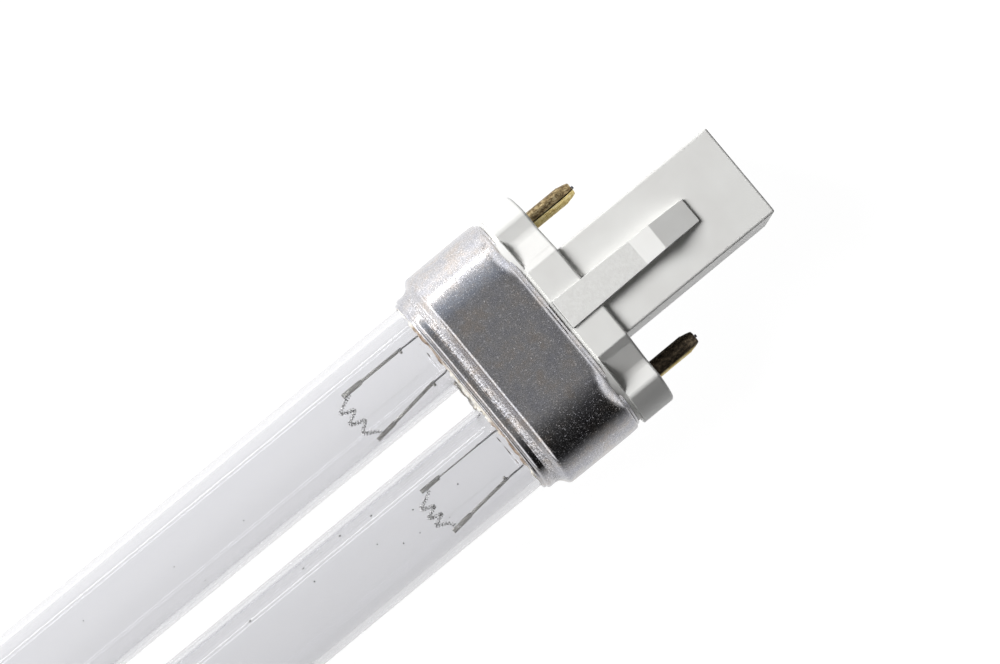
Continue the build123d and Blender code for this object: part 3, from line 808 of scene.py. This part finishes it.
def flange_form():
    """The flange's section, mirrored to all four quarters and run from its back to the seat."""
    bm = bmesh.new()
    verts = [bm.verts.new((FLANGE_BACK, y, z)) for y, z in valley_outline()]
    for pair in zip(verts, verts[1:]):
        bm.edges.new(pair)
    for axis in ("Z", "Y"):
        geom = bm.verts[:] + bm.edges[:]
        bmesh.ops.mirror(bm, geom=geom, matrix=Matrix.Identity(4), merge_dist=1e-4, axis=axis)
    bmesh.ops.remove_doubles(bm, verts=bm.verts, dist=1e-4)
    back = bmesh.ops.contextual_create(bm, geom=bm.edges[:])["faces"]
    made = bmesh.ops.extrude_face_region(bm, geom=back)["geom"]
    seat = [v for v in made if isinstance(v, bmesh.types.BMVert)]
    bmesh.ops.translate(bm, verts=seat, vec=(-FLANGE_BACK, 0, 0))
    return tidy(bm)


def runs_along(edge):
    """Whether an edge runs along the lamp."""
    return abs(edge.verts[0].co.x - edge.verts[1].co.x) > 1


def edges_at(bm, station):
    """The edges that lie at a station, or beyond it towards the plug's end."""
    return [e for e in bm.edges if all(v.co.x > station - 1e-4 for v in e.verts)]


bm = flange_form()
for place, width in FLANGE_ROUNDING:
    long_edges = [e for e in bm.edges if runs_along(e)]
    bevelled(bm, [e for e in long_edges if abs(abs(e.verts[0].co.y) - place) < 0.01], width, 5)
bevelled(bm, edges_at(bm, 0), 0.4, 4)
piece(tidy(bm), "plug_flange", [PLASTIC], ["plug_body"], 50, True)

SKIRT_RADIUS = FLANGE - 0.65
SKIRT_BACK, SKIRT_FRONT = -12.6, FLANGE_BACK + 0.1
bm = bmesh.new()
outline = [(SKIRT_BACK, 0), (SKIRT_BACK, SKIRT_RADIUS), (SKIRT_FRONT, SKIRT_RADIUS), (SKIRT_FRONT, 0)]
stadium(bm, outline, False)
bevelled(bm, [e for e in bm.edges if e.calc_face_angle(0) > math.radians(60)], 0.2, 3)
piece(tidy(bm), "plug_skirt", [PLASTIC], ["plug_body"], 50, True)

BLOCK_WIDTH, BLOCK_DEPTH, BLOCK_ROOT = 12.8, 16.8, -2.2
bm = bmesh.new()
corner = (PLUG_REACH, BLOCK_WIDTH / 2, BLOCK_DEPTH / 2)
box_of(bm, (BLOCK_ROOT, -BLOCK_WIDTH / 2, -BLOCK_DEPTH / 2), corner)
bevelled(bm, [e for e in bm.edges if runs_along(e)], 0.34, 5)
bevelled(bm, edges_at(bm, PLUG_REACH), 0.3, 4)
piece(tidy(bm), "plug_block", [PLASTIC], ["plug_body"], 50, True)

# The latch rib's side, as (station, height), and how its half width narrows towards its nose
RIB_TOP, RIB_ROOT, RIB_RAMP, RIB_NOSE = 9.7, 7.0, 6.9, 15.0
RIB_HALF, RIB_TAPER = 2.0, 0.35
RIB_PROFILE = [
    (FLANGE_BACK, RIB_ROOT), (FLANGE_BACK, RIB_TOP), (RIB_RAMP, RIB_TOP), (9.8, 10.38), (RIB_NOSE, 8.8),
    (RIB_NOSE, RIB_ROOT),
]
for name, side in (("latch_rib_top", 1), ("latch_rib_bottom", -1)):
    bm = bmesh.new()
    verts = []
    for x, z in RIB_PROFILE:
        half = RIB_HALF - RIB_TAPER * (x - FLANGE_BACK) / (RIB_NOSE - FLANGE_BACK)
        verts.append(bm.verts.new((x, half, z)))
    other = [bm.verts.new((v.co.x, -v.co.y, v.co.z)) for v in verts]
    bm.faces.new(verts)
    bm.faces.new(reversed(other))
    bmesh.ops.bridge_loops(bm, edges=bm.edges[:])
    tidy(bm)
    bevelled(bm, [e for e in bm.edges if all(v.co.z > 8 for v in e.verts)], 0.09, 2)
    for face in bm.faces:
        middle = face.calc_center_median()
        rough = middle.z > RIB_TOP - 0.1 and middle.x < RIB_RAMP + 0.1 and face.calc_area() > 1
        face.material_index = 1 if rough else 0
    if side < 0:
        bmesh.ops.scale(bm, vec=(1, 1, -1), verts=bm.verts)
    piece(tidy(bm), name, [PLASTIC, RIB_PLASTIC], ["plug_body"], 30, True)


# Contact pins: rolled brass with a head, a shank, a shoulder ring, a closed-in tip and an open seam
PIN_OFFSET = 11.5
PIN_OUTLINE = [
    (-2.7, 0.8), (-2.7, 1.7), (-2.2, 1.7), (-2.2, 1.35), (0.1, 1.35), (0.1, 1.175), (1.5, 1.175),
    (3.0, 1.175), (5.12, 1.175), (5.18, 1.16), (5.2, 1.115), (5.28, 1.11), (5.9, 0.98), (6.35, 0.85),
    (6.5, 0.78), (6.55, 0.66), (6.55, 0.23), (5.85, 0.23), (4.5, 0.8), (1.0, 0.8),
]
PIN_TIP = 5.25
HALF_SEAM = 0.07
for name, node, side, roll, brass in (
    ("pin_a", "contact_pin_a", 1, 0.28, BRASS_A),
    ("pin_b", "contact_pin_b", -1, 2.2, BRASS_B),
):
    bm = bmesh.new()
    turned(bm, PIN_OUTLINE, side * PIN_OFFSET, 44, roll + HALF_SEAM, FULL_TURN - 2 * HALF_SEAM, True)
    bmesh.ops.remove_doubles(bm, verts=bm.verts, dist=1e-4)
    bmesh.ops.holes_fill(bm, edges=[e for e in bm.edges if len(e.link_faces) == 1], sides=40)
    tidy(bm)
    for vert in bm.verts:
        if vert.co.x > PIN_TIP:
            dent = noise.noise(vert.co * 2.4 + Vector((0, 0, side * 3)))
            vert.co.x += 0.12 * min(dent, 0.0)
            vert.co.z *= 1 - 0.05 * max(dent, 0.0)
    piece(bm, name, [brass], [node], 40)


# CAD nodes that keep their shape get a finish of their own
KEPT = {
    "mercury_bead": MERCURY,
    "lead_in_wire_a1": CUT_WIRE,
    "lead_in_wire_a2": COPPER,
    "lead_in_wire_b1": COPPER,
    "lead_in_wire_b2": CUT_WIRE,
    "insulating_sleeve_a": SLEEVE,
    "insulating_sleeve_b": SLEEVE,
    "starter_bulb": STARTER_GLASS,
    "starter_bimetal": NICKEL,
    "starter_fixed_electrode": NICKEL,
    "suppression_capacitor": RESIN,
}
for node, finish in KEPT.items():
    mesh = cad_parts[node].data
    mesh.materials.clear()
    mesh.materials.append(finish)


# Floor, world and lamps
MIRRORED_FLOOR, MIRRORED_ROOM, ROOM_GREY = (1.7, 1.7, 1.7), (1.65, 1.65, 1.65), (0.04, 0.04, 0.04)
WHITE = (1.0, 1.0, 1.0)


def floor_finish():
    """White paper with a faint shadow. What metal mirrors of it grows darker away from the window."""
    material = bpy.data.materials.new("floor")
    material.use_nodes = True
    sheet = Graph(material.node_tree)
    nodes, links = sheet.nodes, sheet.links
    nodes.clear()
    out = nodes.new("ShaderNodeOutputMaterial")
    paper = nodes.new("ShaderNodeBsdfDiffuse")
    paper.inputs["Color"].default_value = (0.75, 0.75, 0.75, 1)
    glow = nodes.new("ShaderNodeEmission")
    glow.inputs["Strength"].default_value = 1.14
    across = sheet.parts(nodes.new("ShaderNodeTexCoord").outputs["Object"])[1]
    towards_window = [
        (0.0, 0.01), (0.24, 0.02), (0.4, 0.17), (0.437, 0.37), (0.475, 0.52), (0.5, 0.56), (0.6, 0.78),
        (0.74, 0.98),
    ]
    falling = sheet.ramp(sheet.spread(across, -0.3, 0.3), towards_window)
    falling = sheet.mix(1.0, falling, MIRRORED_FLOOR, "MULTIPLY")
    seen = nodes.new("ShaderNodeLightPath").outputs
    links.new(sheet.mix(seen["Is Glossy Ray"], WHITE, falling), glow.inputs["Color"])
    bright = sheet.maths("MAXIMUM", seen["Is Camera Ray"], seen["Is Transmission Ray"])
    bright = sheet.maths("MAXIMUM", bright, seen["Is Glossy Ray"])
    mix = nodes.new("ShaderNodeMixShader")
    links.new(sheet.spread(bright, -0.13, 1.18), mix.inputs[0])
    links.new(paper.outputs[0], mix.inputs[1])
    links.new(glow.outputs[0], mix.inputs[2])
    links.new(mix.outputs[0], out.inputs["Surface"])
    return material


floor_mesh = bmesh.new()
bmesh.ops.create_grid(floor_mesh, x_segments=1, y_segments=1, size=3.0)
bmesh.ops.translate(floor_mesh, verts=floor_mesh.verts, vec=(0, 0, cad_box[0][2] - 0.00002))
floor_data = bpy.data.meshes.new("floor")
floor_mesh.to_mesh(floor_data)
floor_mesh.free()
floor_data.materials.append(floor_finish())
floor = bpy.data.objects.new("floor", floor_data)
scene.collection.objects.link(floor)

# The room that metal mirrors: a window towards +Y, dark towards -Y, a low panel at either end of the lamp
WINDOW = [
    (0.0, 0.005), (0.07, 0.01), (0.16, 0.03), (0.265, 0.08), (0.4, 0.2), (0.5, 0.2), (0.6, 0.21),
    (0.735, 0.19), (0.785, (0.22, 0.24, 0.27)), (0.89, (0.38, 0.41, 0.45)), (0.965, 0.75), (1.0, 1.0),
]
OVERHEAD = [(0.38, 0.55), (0.43, 0.65), (0.48, 1.0), (0.52, 1.0), (0.57, 0.65), (0.62, 0.55)]
PANELS = [
    (0.0, (0.11, 0.09, 0.08)), (0.05, (0.16, 0.14, 0.12)), (0.13, 0.65), (0.22, 0.95), (0.31, 0.6),
    (0.37, 0.03), (0.44, 0.0), (0.56, 0.0), (0.66, 0.03), (0.73, 0.7), (0.85, 0.7), (0.93, 0.3), (1.0, 0.2),
]
scene.world = bpy.data.worlds.new("studio")
scene.world.use_nodes = True
room = Graph(scene.world.node_tree)
room.nodes.clear()
towards = room.parts(room.nodes.new("ShaderNodeTexCoord").outputs["Generated"])
along = room.spread(towards["X"], -1, 1)
window = room.ramp(room.spread(towards["Y"], -1, 1), WINDOW)
mirrored = room.mix(1.0, window, room.ramp(along, OVERHEAD), "MULTIPLY")
mirrored = room.mix(1.0, mirrored, room.ramp(along, PANELS), "ADD")
mirrored = room.mix(1.0, mirrored, MIRRORED_ROOM, "MULTIPLY")
seen = room.nodes.new("ShaderNodeLightPath").outputs
around = room.mix(seen["Is Glossy Ray"], ROOM_GREY, mirrored)
direct = room.maths("MAXIMUM", seen["Is Camera Ray"], seen["Is Transmission Ray"])
background = room.nodes.new("ShaderNodeBackground")
room.links.new(room.mix(direct, around, WHITE), background.inputs["Color"])
room.links.new(background.outputs[0], room.nodes.new("ShaderNodeOutputWorld").inputs["Surface"])


def softbox(name, place, width, height, radiance, mirrored):
    """An area light aimed at the lamp on the floor: it lights the lamp, or is only mirrored in it."""
    data = bpy.data.lights.new(name, "AREA")
    data.shape = "RECTANGLE"
    data.size = width
    data.size_y = height
    data.energy = radiance * math.pi * width * height
    light = bpy.data.objects.new(name, data)
    light.location = place
    light.rotation_euler = (Vector((0, 0, 0.01)) - Vector(place)).to_track_quat("-Z", "Y").to_euler()
    light.visible_glossy = mirrored
    light.visible_diffuse = not mirrored
    scene.collection.objects.link(light)


softbox("key", (-0.52, 0.47, 0.58), 0.52, 0.52, 15.6, False)
softbox("window_strip", (-0.18, 0.65, 0.25), 1.3, 0.045, 6.0, True)
